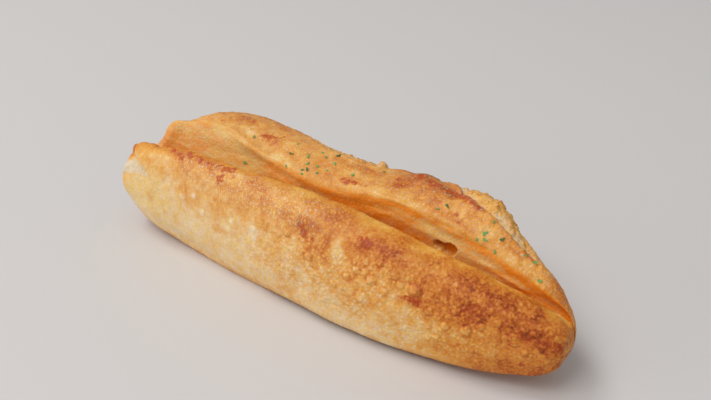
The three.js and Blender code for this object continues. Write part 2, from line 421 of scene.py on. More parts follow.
# ---- What the oven did
class Zones:
    """Which part of the loaf each point of its skin is on, as shares, and the bubbles scattered over it.

    x and u are each point's place, and past_edge is how far u is past the end of the far crust. Blister is
    the single large blisters' height in mm, and the other bubbles are domes with heights from 0 to 1.
    """

    def __init__(self, oven: "OvenWork", skin: Skin) -> None:
        """Finds the parts, the marks and the bubbles.

        Args:
            oven: The marks, the edges and the noise.
            skin: The surface before its relief.
        """
        grain, domes, p = oven.noise.layers, oven.noise.domes, skin.points
        self.x, self.u = x, u = np.broadcast_arrays(skin.x, skin.u)
        self.ragged = 0.42 * grain(p, 4.5, 3)
        frayed = 0.3 * grain(p, 4, 2) + 0.6 * grain(p + 5, 1.7, 2)
        self.flank = band(1.2, 2.2, 5.5, 6.0, u)
        self.top = band(11.1, 11.6, 14.3, 14.8, u)
        self.back = band(14.6, 16, 19, 20, u)
        # The cut's far rim is softer and lower at the left.
        soft = step(-25, -45, x)
        rim = step(11.1 + 0.8 * soft, 10.95 - 0.4 * soft, u + 0.06 * grain(p, 7))
        self.cut = step(114.2, 111.5, x) * step(6.25, 6.75, u + 0.12 * oven.noise.smooth(p, 5)) * rim

        fray = 0.07 * grain(p, 5, 3)
        edge = np.interp(x, *np.transpose(oven.crust_edge)) + fray
        outer = np.interp(x, *np.transpose(oven.crumb_edge)) + 1.4 * fray
        self.past_edge = u - edge
        self.near_edge = bell(-0.06, 0.1, u - edge) * band(-30, -10, 94, 102, x)
        self.torn = step(edge, edge + 0.14, u) * step(outer + 0.08, outer - 0.2, u)
        upper = np.interp(x, *np.transpose(oven.split)) + 0.16 * grain(p, 3.5, 3)
        wedge = step(3.96, 4.14, u + 0.08 * grain(p, 4)) * step(upper + 0.12, upper - 0.3, u)
        self.wedge = wedge * band(-114.6, -112.5, -88, -83.5, x)
        z = p[..., 2]
        ovals = np.minimum(*(np.hypot((x - at_x) / rx, (z - at_z) / rz) for at_x, at_z, rx, rz in oven.burst))
        self.hollow = band(8.2, 8.7, 10.0, 10.4, u) * step(1.1, 0.86, ovals + 0.24 * grain(p, 1.8, 2))

        toasted = oven.spread(skin, oven.toast, self.ragged) ** 1.3
        self.toasted = np.clip(toasted * (0.86 + 0.32 * grain(p + 19, 2.3, 2)), 0, 1.15)
        spots = step(0.12, 0.75, oven.spread(skin, oven.scorched, frayed))
        self.spots = spots * (0.75 + 0.9 * grain(p + 23, 1.5, 2))

        crowded = np.clip(0.75 + 0.6 * grain(p + 47, 9, 2), 0.2, 1)
        self.bubbly = self.flank * step(-70, 30, x) * step(2.0, 3.2, u) * crowded
        self.tiny = domes(p + 91, 1.8, 0.5, 0.9, 0.8)
        self.small = domes(p, 3.0, 0.7, 1.4, 0.6)
        self.medium = domes(p + 57, 4.4, 1.1, 2.1, 0.5)
        self.crumbs = domes(p + 33, 2.9, 0.9, 1.8, 0.95)
        # Each large blister is a dome, with a browner ring round it if it is high.
        self.blister, self.ring = np.zeros((2, *u.shape))
        for at_x, at_u, along, across, height in oven.blisters:
            reach = skin.reach(at_x, at_u, along, across) + 0.12 * oven.noise.smooth(p, 2.2)
            self.blister = np.maximum(self.blister, height * np.clip(1 - reach**2, 0, 1) ** 0.7)
            self.ring = np.maximum(self.ring, bell(1.15, 0.28, reach) * (height > 0.4))


@dataclass
class OvenWork:
    """The relief and the browning that baking gives the crust, the cut and the torn side.

    Each mark is a place along the loaf in mm, a place u round it, its radii along and round in mm, and a
    strength: a share of full browning, or a height in mm.
    """

    seed: int = 20
    # Browning over a section, as u and value: 0 is pale and 1 is dark brown.
    browning_by_u: Curve = (
        (0, 0.62), (1, 0.52), (1.8, 0.3), (2.3, 0.14), (3, 0.18), (3.6, 0.27), (4.2, 0.38), (4.8, 0.5), (5.4, 0.5),
        (5.9, 0.48), (6.4, 0.46), (10.8, 0.42), (11.2, 0.4), (12, 0.44), (13, 0.5), (14, 0.5), (15.5, 0.35),
        (16.5, 0.3), (17.5, 0.25), (18.5, 0.2), (19.3, 0.35), (20, 0.55), (21, 0.62),
    )  # fmt: skip
    # Toasted patches, and the small scorched flecks on them.
    toast: Marks = (
        (-66, 5.5, 15, 3.4, 0.5), (-46, 5.3, 14, 4, 0.5), (-28, 4.95, 20, 5.5, 0.38), (-104, 5.5, 5, 3, 0.4),
        (-86, 5.8, 7, 2.4, 0.45), (-42, 4.75, 6, 3.5, 0.35), (-13, 4.5, 6, 4.5, 0.3), (0, 4.75, 7, 5, 0.4),
        (12, 4.35, 9, 7, 0.45), (18, 4.75, 4, 4, 0.4), (18, 5.3, 12, 3, 0.35), (33, 4.9, 4.5, 3.5, 0.75),
        (30, 4.6, 6, 5, 0.45), (40, 4.95, 7, 4.5, 0.4), (47, 5, 7, 4.5, 0.45), (57, 4, 6, 2.6, 0.7),
        (61, 4.2, 6, 5.5, 0.4), (68, 4.4, 8, 8, 0.4), (54, 4.7, 9, 6, 0.3), (81, 4.35, 6, 4.5, 0.7),
        (75, 4.9, 8, 5, 0.4), (81, 5.15, 6, 3, 0.55), (88, 5.1, 7, 3.4, 0.5), (54, 5.2, 14, 3, 0.28),
        (57, 4.35, 3, 2.6, 0.3), (6, 4.6, 6, 4, 0.35), (80.5, 4.5, 5, 4, 0.35), (96, 4.2, 8, 4.5, 0.5),
        (104.5, 5.1, 6, 3.5, 0.35), (97, 4.7, 5, 4, 0.2), (8, 12.05, 6, 3, 0.4), (-36, 12.5, 6, 3, 0.45),
        (102, 4.15, 7, 3.2, 0.88), (107, 4, 4, 4, 0.8), (111, 3.7, 3, 6, 0.5), (98, 3.4, 10, 5, 0.18),
        (92, 3.6, 13, 5, 0.3), (80, 3, 11, 5, 0.26), (85, 2.4, 6, 3, 0.2), (108, 2.8, 8, 6, 0.15),
        (88, 4.7, 12, 9, 0.35), (-56, 12.95, 7, 4, 0.3), (-50, 12.85, 5, 3.4, 0.3), (-41, 12.7, 7, 3.6, 0.35),
        (-68, 13, 6, 3, 0.3), (-26, 12.4, 6, 4, 0.25), (13, 12.15, 5, 2.4, 0.35), (15, 12.85, 7, 3, 0.5),
        (22, 12.8, 6, 4, 0.45), (29, 12.55, 6, 3.4, 0.5), (33, 12.75, 5, 3, 0.5), (36, 13.45, 8, 5, 0.75),
        (45, 13.2, 9, 5.5, 0.75), (53, 12.95, 7, 3.6, 0.7), (61, 12.8, 6, 2.4, 0.8), (67, 12.65, 4, 1.4, 0.8),
        (42, 12.7, 14, 6, 0.4), (46, 12.3, 7, 4, 0.4), (55, 11.9, 5, 2.4, 0.5), (60, 11.8, 5, 2, 0.45),
        (68, 12.4, 6, 2.4, 0.3), (85, 12.3, 4, 1.6, 0.68), (90, 12.75, 5, 1, 0.74), (105, 12.6, 9, 6, 0.35),
        (34, 14.4, 18, 7, 0.6),
    )  # fmt: skip
    scorched: Marks = (
        (-103.6, 5.65, 2.4, 1.6, 1), (-90, 5.9, 3, 1.6, 0.5), (-81, 6.1, 4, 1.6, 0.6), (-75, 6.2, 3, 1.4, 0.5),
        (-71, 5.4, 3.6, 2.1, 1), (-66, 5.75, 2.4, 1.4, 0.6), (-61, 5.6, 3.6, 2, 1), (-57.5, 5.6, 3.2, 1.8, 1),
        (-75.5, 5.65, 3.2, 1.6, 0.9), (-52, 5.5, 2.6, 1.8, 0.9), (-50, 5.2, 1.8, 1.6, 0.8), (-45.5, 5.5, 3, 1.9, 1),
        (-41, 5.55, 3, 1.9, 1), (-43, 5, 2.6, 2.2, 0.8), (-37, 5.3, 3, 1.6, 0.5), (-28, 5.3, 3, 2, 0.4),
        (-18, 4.9, 3, 2, 0.4), (5, 4.52, 2.5, 2, 1), (9, 4.45, 2.4, 1.8, 0.7), (18, 4.9, 2.6, 2, 0.5),
        (14, 5.25, 3, 1.8, 0.45), (31, 5.1, 2.6, 1.8, 0.9), (34, 4.95, 2.4, 2.2, 0.9), (32, 4.7, 2.2, 1.8, 0.6),
        (40, 5, 3, 2, 0.5), (55, 4.02, 4, 1.3, 0.8), (62, 4.15, 3, 1.6, 0.6), (80, 4.45, 3.2, 2.6, 1.3),
        (79, 4.1, 2, 1.6, 0.8), (84, 5.1, 3.4, 1.8, 0.8), (91, 5, 3, 1.8, 0.5), (101.5, 4.25, 3.5, 1.8, 0.9),
        (105, 4.1, 3.5, 1.5, 0.8), (109.5, 3.8, 3, 1.2, 0.5), (106, 4.5, 3.6, 1.8, 0.7), (112, 3.9, 2, 3, 0.9),
        (93, 4.1, 4, 1.4, 0.6), (101, 2.85, 1.8, 1.4, 0.6), (91, 3.5, 2, 1.4, 0.5), (-53, 13, 3.4, 1.8, 0.35),
        (-49, 12.9, 2.4, 1.4, 0.4), (-58, 13.05, 2.6, 1.6, 0.4), (-36, 12.5, 4, 3, 1.1), (-70, 13, 2.6, 1.4, 0.5),
        (-30, 12.9, 3, 1.4, 0.5), (13, 12.05, 3.4, 1.5, 0.8), (8, 12.1, 3.4, 1.4, 0.7), (17, 12, 2.2, 1.2, 0.6),
        (31, 12.5, 2.8, 2, 0.8), (36, 13.3, 3, 3, 0.9), (30, 12.85, 2.6, 1.4, 0.6), (44, 13.1, 4, 2.4, 0.8),
        (52, 13.05, 4, 2.2, 0.9), (57, 12.85, 3, 1.6, 0.7), (62, 12.78, 3, 1.2, 0.8), (66, 12.7, 3, 0.9, 0.6),
        (58, 12.1, 2.8, 1.6, 0.7), (61, 11.8, 2.4, 1.4, 0.7), (47, 12.4, 3, 2, 0.6), (90, 12.5, 2, 1, 0.6),
    )  # fmt: skip
    # Floury patches that stayed pale, and left-flank blister caps that are partly pale crust, partly painted
    # highlight.
    pale: Marks = (
        (22, 4.35, 3.6, 6.5, 0.28), (-21, 3.95, 1.8, 1.4, 0.45), (-58, 4.1, 1.4, 1.3, 0.3),
        (-52, 3.75, 1.3, 1.9, 0.3), (-34, 3.85, 1.3, 1.7, 0.32), (-36, 3.6, 1.3, 1.8, 0.3),
        (-21, 3.72, 1.4, 2.4, 0.3), (7, 12.5, 8, 3, 0.06), (-46, 12.3, 6, 2, 0.2), (57, 4.35, 2.8, 2.2, 0.04),
        (-95, 4.3, 12, 9, 0.1), (97, 3.1, 5, 2.6, 0.08), (-25, 4.8, 8, 4, 0.13), (18, 3.8, 9, 6, 0.1),
        (25, 11.9, 12, 2.4, 0.14), (-25, 11.8, 5, 3, 0.2),
    )  # fmt: skip
    # Single large blisters, by their height in mm.
    blisters: Marks = (
        (57, 4.32, 2.6, 2.3, 0.95), (9, 3.95, 2, 1.8, 0.7), (32, 4.2, 1.9, 1.7, 0.65), (36, 4.22, 1.8, 1.8, 0.65),
        (39, 4.12, 2.3, 2, 0.8), (48, 4.5, 2, 1.7, 0.6), (36, 3.5, 3.2, 3, 0.45), (79, 3.7, 2.1, 2, 0.7),
        (96, 3.95, 1.9, 1.7, 0.6), (71, 3.65, 1.8, 1.6, 0.6), (-21, 3.95, 1.4, 1.2, 0.4),
        (-58, 4.1, 1.5, 1.5, 0.35), (-52, 3.75, 1.4, 2, 0.35), (-34, 3.85, 1.3, 1.8, 0.35),
        (-36, 3.6, 1.5, 2, 0.35), (-3, 4.3, 1.8, 1.5, 0.5), (41, 4.65, 1.8, 1.5, 0.6), (35, 4.5, 1.6, 1.5, 0.5),
        (51, 4.3, 1.8, 1.6, 0.6), (64, 3.9, 1.7, 1.6, 0.55), (84, 4, 1.6, 1.5, 0.5), (28, 3.9, 1.8, 1.6, 0.5),
        (45, 3.95, 1.7, 1.6, 0.5), (17, 3.8, 1.6, 1.5, 0.4), (103, 4.4, 1.6, 1.3, 0.6), (99, 4.35, 1.5, 1.2, 0.5),
        (94, 4.45, 1.6, 1.4, 0.6), (97, 3.75, 1.7, 1.5, 0.6), (90, 4.3, 1.5, 1.3, 0.5), (86, 4.6, 1.6, 1.4, 0.5),
        (74, 4.2, 1.7, 1.4, 0.5), (101, 3.5, 1.6, 1.4, 0.5),
    )  # fmt: skip
    # Broad swellings, hollows and wrinkles of the body, by their height in mm.
    lumps: Marks = (
        (-99, 5.5, 4, 3.4, 1.5), (-100, 5.9, 6, 3, 0.7), (-105, 4.95, 4, 3, -1.9), (-107, 4.4, 3, 3, 1),
        (-104.5, 5.75, 2.6, 2.4, 1.6), (-87, 6.25, 4, 3, -0.9), (-90, 11.2, 5, 6, 1), (-101, 11.2, 5, 5, -1.3),
        (-55, 14.2, 18, 8, 0.7), (-33, 13.9, 12, 7, 0.8), (-66, 12.7, 8, 7, 0.9), (-73, 12.6, 10, 7, 0.9),
        (-50, 13.5, 14, 8, 0.7), (-15, 13.7, 14, 8, 0.2), (22, 13.5, 5, 4, -0.6), (38, 13.4, 7, 5, 1.6),
        (36, 13.9, 5, 6, 1.2), (104, 12.9, 8, 8, 0.8), (-108, 3.4, 8, 7, 1.3), (-75, 1.9, 30, 6, -1.2),
        (55, 13, 7, 6, -2), (98, 12.8, 10, 6, -0.3), (104, 3, 8, 8, 0.9), (109, 2.5, 6, 6, 0.3),
        (92, 6.15, 12, 3.2, -1.1), (104, 6.05, 8, 3.2, -1.3), (111, 3, 4, 5, 0.8), (-30, 11.9, 14, 5, -0.8),
        (12, 12.2, 12, 5, 0.6), (74, 13.3, 10, 5, 1.6), (-2, 5.2, 16, 7, 0.5), (46, 5, 16, 6, 0.5),
        (26, 4.2, 7, 8, -0.4), (88, 2.9, 10, 6, 0.5), (108, 12, 7, 9, -1.2), (111, 4.6, 4, 6, 0.6),
        (88, 5.05, 7, 1.3, 0.6), (93, 4.65, 7, 1.3, 0.6), (99, 5.05, 6, 1.2, 0.6), (101, 4.6, 6, 1.1, 0.5),
        (76, 4.7, 6, 1.3, 0.5), (106, 4.3, 4, 1.2, -0.5),
    )  # fmt: skip
    # Where the far crust ends over the torn crumb, and where the crumb meets the flank, as x and u.
    crust_edge: Curve = (
        (-60, 14.6), (-30, 13.9), (-12, 13.35), (15, 13.3), (20, 13.6), (26, 14.2), (45, 14.2), (52, 13.7),
        (58, 13), (66, 12.72), (76, 12.68), (86, 12.74), (92, 12.85), (98, 13.2), (104, 14),
    )  # fmt: skip
    crumb_edge: Curve = (
        (-60, 14.6), (-30, 13.9), (-12, 14.6), (15, 15.3), (30, 15.4), (74, 15.4), (80, 14.6), (86, 13.7),
        (92, 13.1), (98, 13.2), (104, 14),
    )  # fmt: skip
    # How deep the butter's orange is on the cut's far wall along the loaf, as x and share.
    soak: Curve = (
        (-112, 0.6), (-90, 0.62), (-76, 0.56), (-62, 0.24), (-45, 0.2), (-25, 0.55), (-5, 0.62), (5, 0.85), (12, 1),
        (26, 0.95), (40, 0.68), (50, 0.42), (60, 0.4), (75, 0.5), (86, 0.7), (94, 1), (113, 1.2),
    )  # fmt: skip
    # The upper edge of the split at the left tip, as x and u.
    split: Curve = (
        (-112, 4.9), (-104, 4.95), (-100, 4.88), (-94, 4.66), (-89, 4.46), (-85, 4.1),
    )  # fmt: skip
    # The burst bubble's two joined ovals, as x and z of their middles and their radii, and its depth.
    burst: tuple[tuple[float, float, float, float], ...] = ((55.0, 39.6, 3.2, 1.6), (59.0, 38.6, 3.3, 2.8))
    burst_depth: float = 3.8
    # A loose crumb on the torn side, as x, u, radius and height.
    loose_crumb: tuple[float, float, float, float] = (16, 13.65, 2.5, 3.0)
    # How far the near heel lifts off its rest, which leaves a dark gap under it.
    heel_lift: float = 3.6
    noise: Grain = field(init=False)

    def __post_init__(self) -> None:
        """Draws the noise."""
        self.noise = Grain(self.seed)

    def spread(self, skin: Skin, marks: Marks, ragged: Array) -> Array:
        """Marks laid over each other: 1 less the product of what each leaves bare as it fades outwards.

        Args:
            skin: The surface.
            marks: The marks.
            ragged: Noise that frays each mark's edge.

        Returns:
            The marks' strength over the surface.
        """
        left = np.ones(skin.points.shape[:2])
        for x, u, along, across, strength in marks:
            left *= 1 - strength * (1 - step(0.05, 1.45, skin.reach(x, u, along, across) + ragged))
        return 1 - left

    def relief(self, skin: Skin, on: Zones) -> Array:
        """Works out how far each point moves: outwards by the relief's height, with a few moves of whole parts.

        Args:
            skin: The surface before its relief.
            on: Its zones.

        Returns:
            The moves in mm.
        """
        grain, p, x, u = self.noise.layers, skin.points, on.x, on.u
        off_base = step(0.3, 5, p[..., 2])
        height = np.zeros(u.shape)
        for at_x, at_u, along, across, lump in self.lumps:
            height += lump * (1 - step(0.1, 1.5, skin.reach(at_x, at_u, along, across) + 0.2 * on.ragged))
        height += off_base * (0.4 * grain(p, 38, 2) + 0.28 * grain(p + 11, 14, 2))

        # The crust: fine waves, small bubbles and the large blisters.
        height += off_base * (1 - on.cut) * 0.12 * grain(p, 3.0, 2)
        height += off_base * on.back * (0.16 * on.small + 0.14 * on.tiny)
        height += on.top * on.toasted * (0.45 * on.tiny + 0.35 * on.small + 0.25 * grain(p, 1.7, 2) - 0.2)
        height += on.top * (1 - on.torn) * (0.18 * on.small + 0.16 * on.tiny + 0.14 * grain(p, 2.4, 2))
        height += on.bubbly * (0.16 * on.small + 0.2 * on.tiny + 0.3 * on.medium)
        height += off_base * on.flank * 0.12 * on.tiny + on.blister
        rough = step(0.4, 0.7, on.toasted) * band(4.2, 5.0, 6.0, 6.3, u) * step(-20, -40, x)
        height += rough * (0.5 * on.small + 0.35 * on.tiny - 0.15)
        creases = bell(0, 1, skin.reach(24, 2.85, 2.6, 0.6)) + bell(0, 1, skin.reach(77, 6.1, 3.2, 0.35))
        height -= 0.5 * creases
        height += 1.4 * bell(2.05, 0.5, u) * band(-30, 10, 108, 115, x)

        # The cut: a swollen wall with drawn fibres, and uneven lips.
        height += (1.8 * bell(9.85, 0.6, u) - 0.3 * bell(11, 0.3, u)) * band(-45, -20, 86, 104, x)
        height += on.cut * (0.4 * grain(p, (22, 6, 5), 2) + 0.1 * grain(p, (5, 1.6, 1.6), 2))
        height += 0.5 * (bell(6.0, 0.4, u) + bell(11.0, 0.35, u)) * grain(p + 5, 7, 4)

        # The torn side: crumbs below the crust's raised rim.
        height += 0.6 * on.near_edge - 0.2 * on.wedge
        height += on.torn * (-1.0 + 0.8 * on.crumbs + 0.6 * on.tiny + 0.5 * grain(p, 2.2, 3))
        height += 1.1 * on.torn * step(0.05, 0.6, on.past_edge) * band(52, 64, 75, 88, x)
        at_x, at_u, radius, tall = self.loose_crumb
        height += tall * np.clip(1 - skin.reach(at_x, at_u, radius, radius) ** 2, 0, 1) ** 0.6

        move = skin.normals * height[..., None]
        move[..., 1] += self.burst_depth * on.hollow
        move[..., 2] -= 0.6 * on.hollow
        # The left wall leans back from its foot to its rim, and its end stands a little higher.
        move[..., 1] += step(-35, -62, x) * (1.9 * bell(11.1, 0.6, u) - 1.4 * bell(9.9, 0.6, u))
        move[..., 2] += 2.0 * (1 - step(0.2, 1.5, skin.reach(-89.5, 11.5, 6, 7)))
        move[..., 2] += self.heel_lift * bell(1.0, 0.55, u) * band(-30, 10, 104, 114, x)
        return move * step(115, 112, np.abs(x))[..., None]

    def browning(self, skin: Skin, on: Zones, wander: Array) -> Array:
        """Works out how brown the crust is.

        Args:
            skin: The surface before its relief.
            on: Its zones.
            wander: u, made uneven over the back.

        Returns:
            The browning: 0 is pale, 1 dark brown and 1.2 nearly black.
        """
        grain, p, x, u = self.noise.layers, skin.points, on.x, on.u
        bake = np.interp(wander, *np.transpose(self.browning_by_u))
        bake += 0.2 * step(75, 108, np.abs(x)) * step(14.6, 15.8, wander) * step(19.5, 18, u)
        # The right half is browner and the left nose paler. Low on the right flank the darkening is partly browning
        # and partly painted shade.
        bake += 0.05 * step(-10, 60, x) * on.flank + 0.34 * step(50, 84, x) * band(0.8, 1.8, 2.2, 3.6, u)
        bake += 0.13 * step(50, 84, x) * band(1.5, 2.4, 3.8, 4.6, u)
        bake += 0.05 * band(-20, 0, 25, 45, x) * on.top
        bake -= 0.06 * step(-30, -95, x) * step(6, 4, u)
        bake -= 0.13 * step(-62, -78, x) * band(3.6, 4.2, 5.0, 5.6, u)
        bake += 0.11 * grain(p + 3, 11, 2) + 0.09 * grain(p + 7, 4, 2) + 0.07 * grain(p, 1.7, 2)
        bake += (0.96 - bake) * 0.88 * on.toasted
        bake += (0.95 - bake) * 0.65 * np.clip(on.spots, 0, 1) ** 1.1
        # The left flank's blister caps among these pale marks are partly a painted highlight.
        bake -= self.spread(skin, self.pale, 0.7 * on.ragged)
        # Bubbles are paler on top, partly pale crust and partly painted highlight, and browner round their feet.
        rims = np.clip(1 - np.abs(on.medium - 0.28) / 0.28, 0, 1)
        bake += on.bubbly * (0.03 - 0.08 * on.small - 0.08 * on.tiny + 0.12 * rims - 0.06 * on.medium)
        bake += 0.14 * on.ring * on.flank - 0.12 * np.clip(on.blister, 0, 0.7)
        # The crust's rim over the tear, the right end of the far lobe and the near lip.
        bake += 0.1 * on.near_edge * step(45, 60, x)
        bake += 0.14 * step(96, 108, x) * band(10.5, 11.2, 13.5, 14.5, u)
        return bake - 0.03 * bell(5.85, 0.22, u) * band(-15, 0, 60, 75, x)

    def masks(self, skin: Skin, on: Zones) -> dict[str, Array]:
        """Works out the shares that the crust's finish reads.

        Args:
            skin: The surface before its relief.
            on: Its zones.

        Returns:
            Each mask by its name. Soak is butter's orange in the cut, and brown tips on the torn crumb.
        """
        grain, p, x, u = self.noise.layers, skin.points, on.x, on.u
        wander = u + 0.9 * grain(p + 13, 11, 3) * band(14, 15.5, 19, 20, u)
        soak = np.interp(x, *np.transpose(self.soak)) + 0.34 * grain(p, (10, 4, 4), 3) - 0.06
        soak += 0.5 * step(10.35, 10.75, u) * step(-20, 0, x) + 0.15 * step(8.9, 8.2, u)
        tips = step(0.15, 0.5, on.past_edge) * (1.5 * (on.crumbs - 0.35) + 0.5 * grain(p, 3, 2))
        tips = (tips + 0.8 * on.near_edge) * (1 - 0.7 * step(72, 82, x))
        # Over x 73 to 92 the torn crumb is painted paler, as painted light on the side that turns away from the key
        # light.
        dough_and_painted_light = 0.8 + 0.35 * band(73, 79, 84, 92, x) - 1.5 * on.past_edge
        dough_and_painted_light += 0.4 * grain(p, 5, 3) - 0.5 * on.crumbs - 0.4 * on.tiny
        frost = band(-85, -60, -5, 30, x) * band(4.2, 4.8, 5.8, 6.2, u)
        spotless = 1 - 0.75 * np.clip(on.spots, 0, 1)
        glaze = (step(5.0, 5.9, u) - 0.55 * step(10.9, 11.5, u)) * step(17.0, 14.0, wander)
        glaze += (0.45 * step(20, 90, x) + 0.5 * step(-60, -90, x) * step(2.0, 3.2, u)) * on.flank
        masks = {
            "bake": self.browning(skin, on, wander) / DARKEST,
            "cut": on.cut,
            "soak": np.where(on.torn > 0.02, tips, soak) * (1 - on.wedge),
            "torn": np.maximum(on.torn, on.wedge),
            "dough_and_painted_light": on.wedge * (1.0 + 0.25 * grain(p, 4, 2)) + on.torn * dough_and_painted_light,
            "hollow": on.hollow,
            "bubbly": on.bubbly + (0.2 + 0.6 * on.toasted) * on.top + on.torn + 0.5 * on.back,
            "frosted": (on.flank * frost + 0.6 * on.top) * spotless,
            "ruddy": np.minimum(1.1 * on.spots * (1 - 0.6 * step(60, 95, x)), 0.95),
            "streaky": on.flank * step(25, -20, x) * step(5.7, 5.0, u),
            "glazed": glaze,
        }
        return {name: np.clip(values, 0, 1) for name, values in masks.items()}


# ---- Finishes
@dataclass(frozen=True)
class CrustFinish:
    """Baked wheat crust and the crumb inside it, with an IOR near 1.45.

    Crust has a roughness near 0.5, butter brings the cut's walls down to about 0.3, and torn crumb is matt.
    """

    name: str = "baked wheat crust"
    stages: tuple[tuple[float, str], ...] = (
        (0.0, "#F0D8BC"), (0.2, "#EDCBA2"), (0.4, "#E6AB66"), (0.6, "#D58740"), (0.8, "#B75D28"),
        (1.0, "#873F1A"), (DARKEST, "#562C12"),
    )  # fmt: skip
    glaze: str = "#FAF1BC"
    crumb_pale: str = "#E5C184"
    crumb_soaked: str = "#E98C2B"
    torn_gold: str = "#E8B069"
    torn_tip: str = "#B8742F"
    torn_pale: str = "#DECDB0"
    ruddy: str = "#B8461A"
    yellowing: str = "#FFF7C2"
    hollow: str = "#DE8A22"
    flour: str = "#F3DDB8"
    blister_mm: float = 1.7
    # Noises, by their spacing in mm along x, y and z, and their detail: the skin's grain and mottling, flour's
    # specks and streaks, and the fibres that tearing draws out of the cut's walls.
    noises: tuple[tuple[str, tuple[float, float, float], float], ...] = (
        ("grain", (1.1, 1.1, 1.1), 3.0),
        ("mottle", (4.5, 4.5, 4.5), 2.0),
        ("fine", (1.2, 1.2, 1.2), 1.0),
        ("streaks", (0.9, 2.4, 3.2), 2.0),
        ("fibres", (4.5, 1.7, 1.7), 3.0),
    )
    # Sums by Math nodes, in order: the result's name, the operation and what goes in. A result whose name
    # ends in share is kept between 0 and 1.
    sums: tuple[tuple[str | float, ...], ...] = (
        ("off_grain", "SUBTRACT", "grain", 0.5),
        ("off_mottle", "SUBTRACT", "mottle", 0.5),
        ("off_fibres", "SUBTRACT", "fibres", 0.5),
        ("valley", "MULTIPLY", "cells", 1.5),
        ("valley", "SMOOTH_MIN", "valley", 1.0, 0.3),
        # Browning, with the grain and the fine blisters' browner valleys added to it.
        ("strong", "MAXIMUM", "bake", 0.3),
        ("strong", "MULTIPLY_ADD", "strong", 1.3, -0.2),
        ("strong", "MULTIPLY_ADD", "frosted", 0.7, "strong"),
        ("brown", "MULTIPLY_ADD", "off_grain", "strong", "bake"),
        ("brown", "MULTIPLY_ADD", "off_mottle", 0.14, "brown"),
        ("lifted", "SUBTRACT", "valley", 0.55),
        ("lifted", "MULTIPLY", "lifted", "bubbly"),
        ("brown", "MULTIPLY_ADD", "lifted", 0.17, "brown"),
        # Red-brown flecks where it is scorched, and flour left as streaks and as specks.
        ("fleck_share", "MULTIPLY_ADD", "grain", 4.0, -1.35),
        ("scorch", "MULTIPLY", "ruddy", "fleck_share"),
        ("powder", "MULTIPLY_ADD", "streaks", 5.0, -2.9),
        ("powder", "SMOOTH_MAX", "powder", 0.0, 0.2),
        ("powder", "MULTIPLY", "powder", "streaky"),
        ("powder", "MULTIPLY", "powder", 0.8),
        ("powder", "MINIMUM", "powder", 0.6),
        ("specks", "MULTIPLY_ADD", "grain", 6.0, -3.18),
        ("specks", "SMOOTH_MAX", "specks", 0.0, 0.3),
        ("specks", "MULTIPLY", "specks", "frosted"),
        ("specks", "MULTIPLY", "specks", 0.85),
        ("specks", "MINIMUM", "specks", 0.62),
        # Butter's orange along the wall's fibres, and brown tips on the torn crumb.
        ("soaking", "MULTIPLY_ADD", "off_fibres", 1.3, "soak"),
        ("soaked_share", "MULTIPLY_ADD", "off_grain", 0.6, "soaking"),
        ("tip_share", "MULTIPLY_ADD", "off_grain", 3.2, "soak"),
        ("crusty", "MULTIPLY", "dough_and_painted_light", 0.75),
        ("crusty", "SUBTRACT", 1.0, "crusty"),
        ("tip", "MULTIPLY", "tip_share", "crusty"),
        # Fine golden places between the flour.
        ("golden", "MULTIPLY_ADD", "fine", 6.0, -2.5),
        ("golden_share", "SUBTRACT", "golden", "dough_and_painted_light"),
        # Gloss from the butter on the walls, and the crumb's matt surface.
        ("rough", "MULTIPLY_ADD", "cut", -0.18, 0.5),
        ("rough", "MULTIPLY_ADD", "torn", 0.25, "rough"),
        ("rough", "MULTIPLY_ADD", "off_grain", 0.3, "rough"),
        # The height that the bump is made of.
        ("high", "MULTIPLY", "valley", -0.55),
        ("high", "MULTIPLY", "high", "bubbly"),
        ("high", "MULTIPLY_ADD", "grain", 0.5, "high"),
        ("high", "MULTIPLY_ADD", "mottle", 0.4, "high"),
    )
    bump_mm: float = 0.7
    bump_strength: float = 0.9
    ior: float = 1.45
    specular: float = 0.32

    def build(self) -> bpy.types.Material:
        """Builds the node material.

        Returns:
            The material, which reads the masks that the oven's work leaves on the mesh.
        """
        made, tree = new_material(self.name)
        place = add(tree, "ShaderNodeTexCoord").outputs["Object"]
        found = {name: add(tree, "ShaderNodeAttribute", attribute_name=name).outputs["Fac"] for name in MASKS}
        for name, spacing, detail in self.noises:
            scale = tuple(1 / (s * MM) for s in spacing)
            spread = add(tree, "ShaderNodeMapping", {"Vector": place, "Scale": scale}).outputs[0]
            noise = add(tree, "ShaderNodeTexNoise", {"Vector": spread, "Scale": 1.0, "Detail": detail})
            found[name] = noise.outputs["Fac"]
        cells = add(tree, "ShaderNodeTexVoronoi", {"Vector": place, "Scale": 1 / (self.blister_mm * MM)})
        found["cells"] = cells.outputs["Distance"]
        between = {0: found["streaky"], 2: found["fine"], 3: found["streaks"]}
        found["fine"] = add(tree, "ShaderNodeMix", between).outputs[0]

        def read(value: str | float) -> object:
            """A hex colour's linear colour, a named result's socket, or the number itself."""
            return linear(value) if str(value).startswith("#") else found.get(value, value)

        for name, operation, *values in self.sums:
            wires = {i: read(v) for i, v in enumerate(values)}
            kept = str(name).endswith("_share")
            node = add(tree, "ShaderNodeMath", wires, operation=operation, use_clamp=kept)
            found[name] = node.outputs[0]

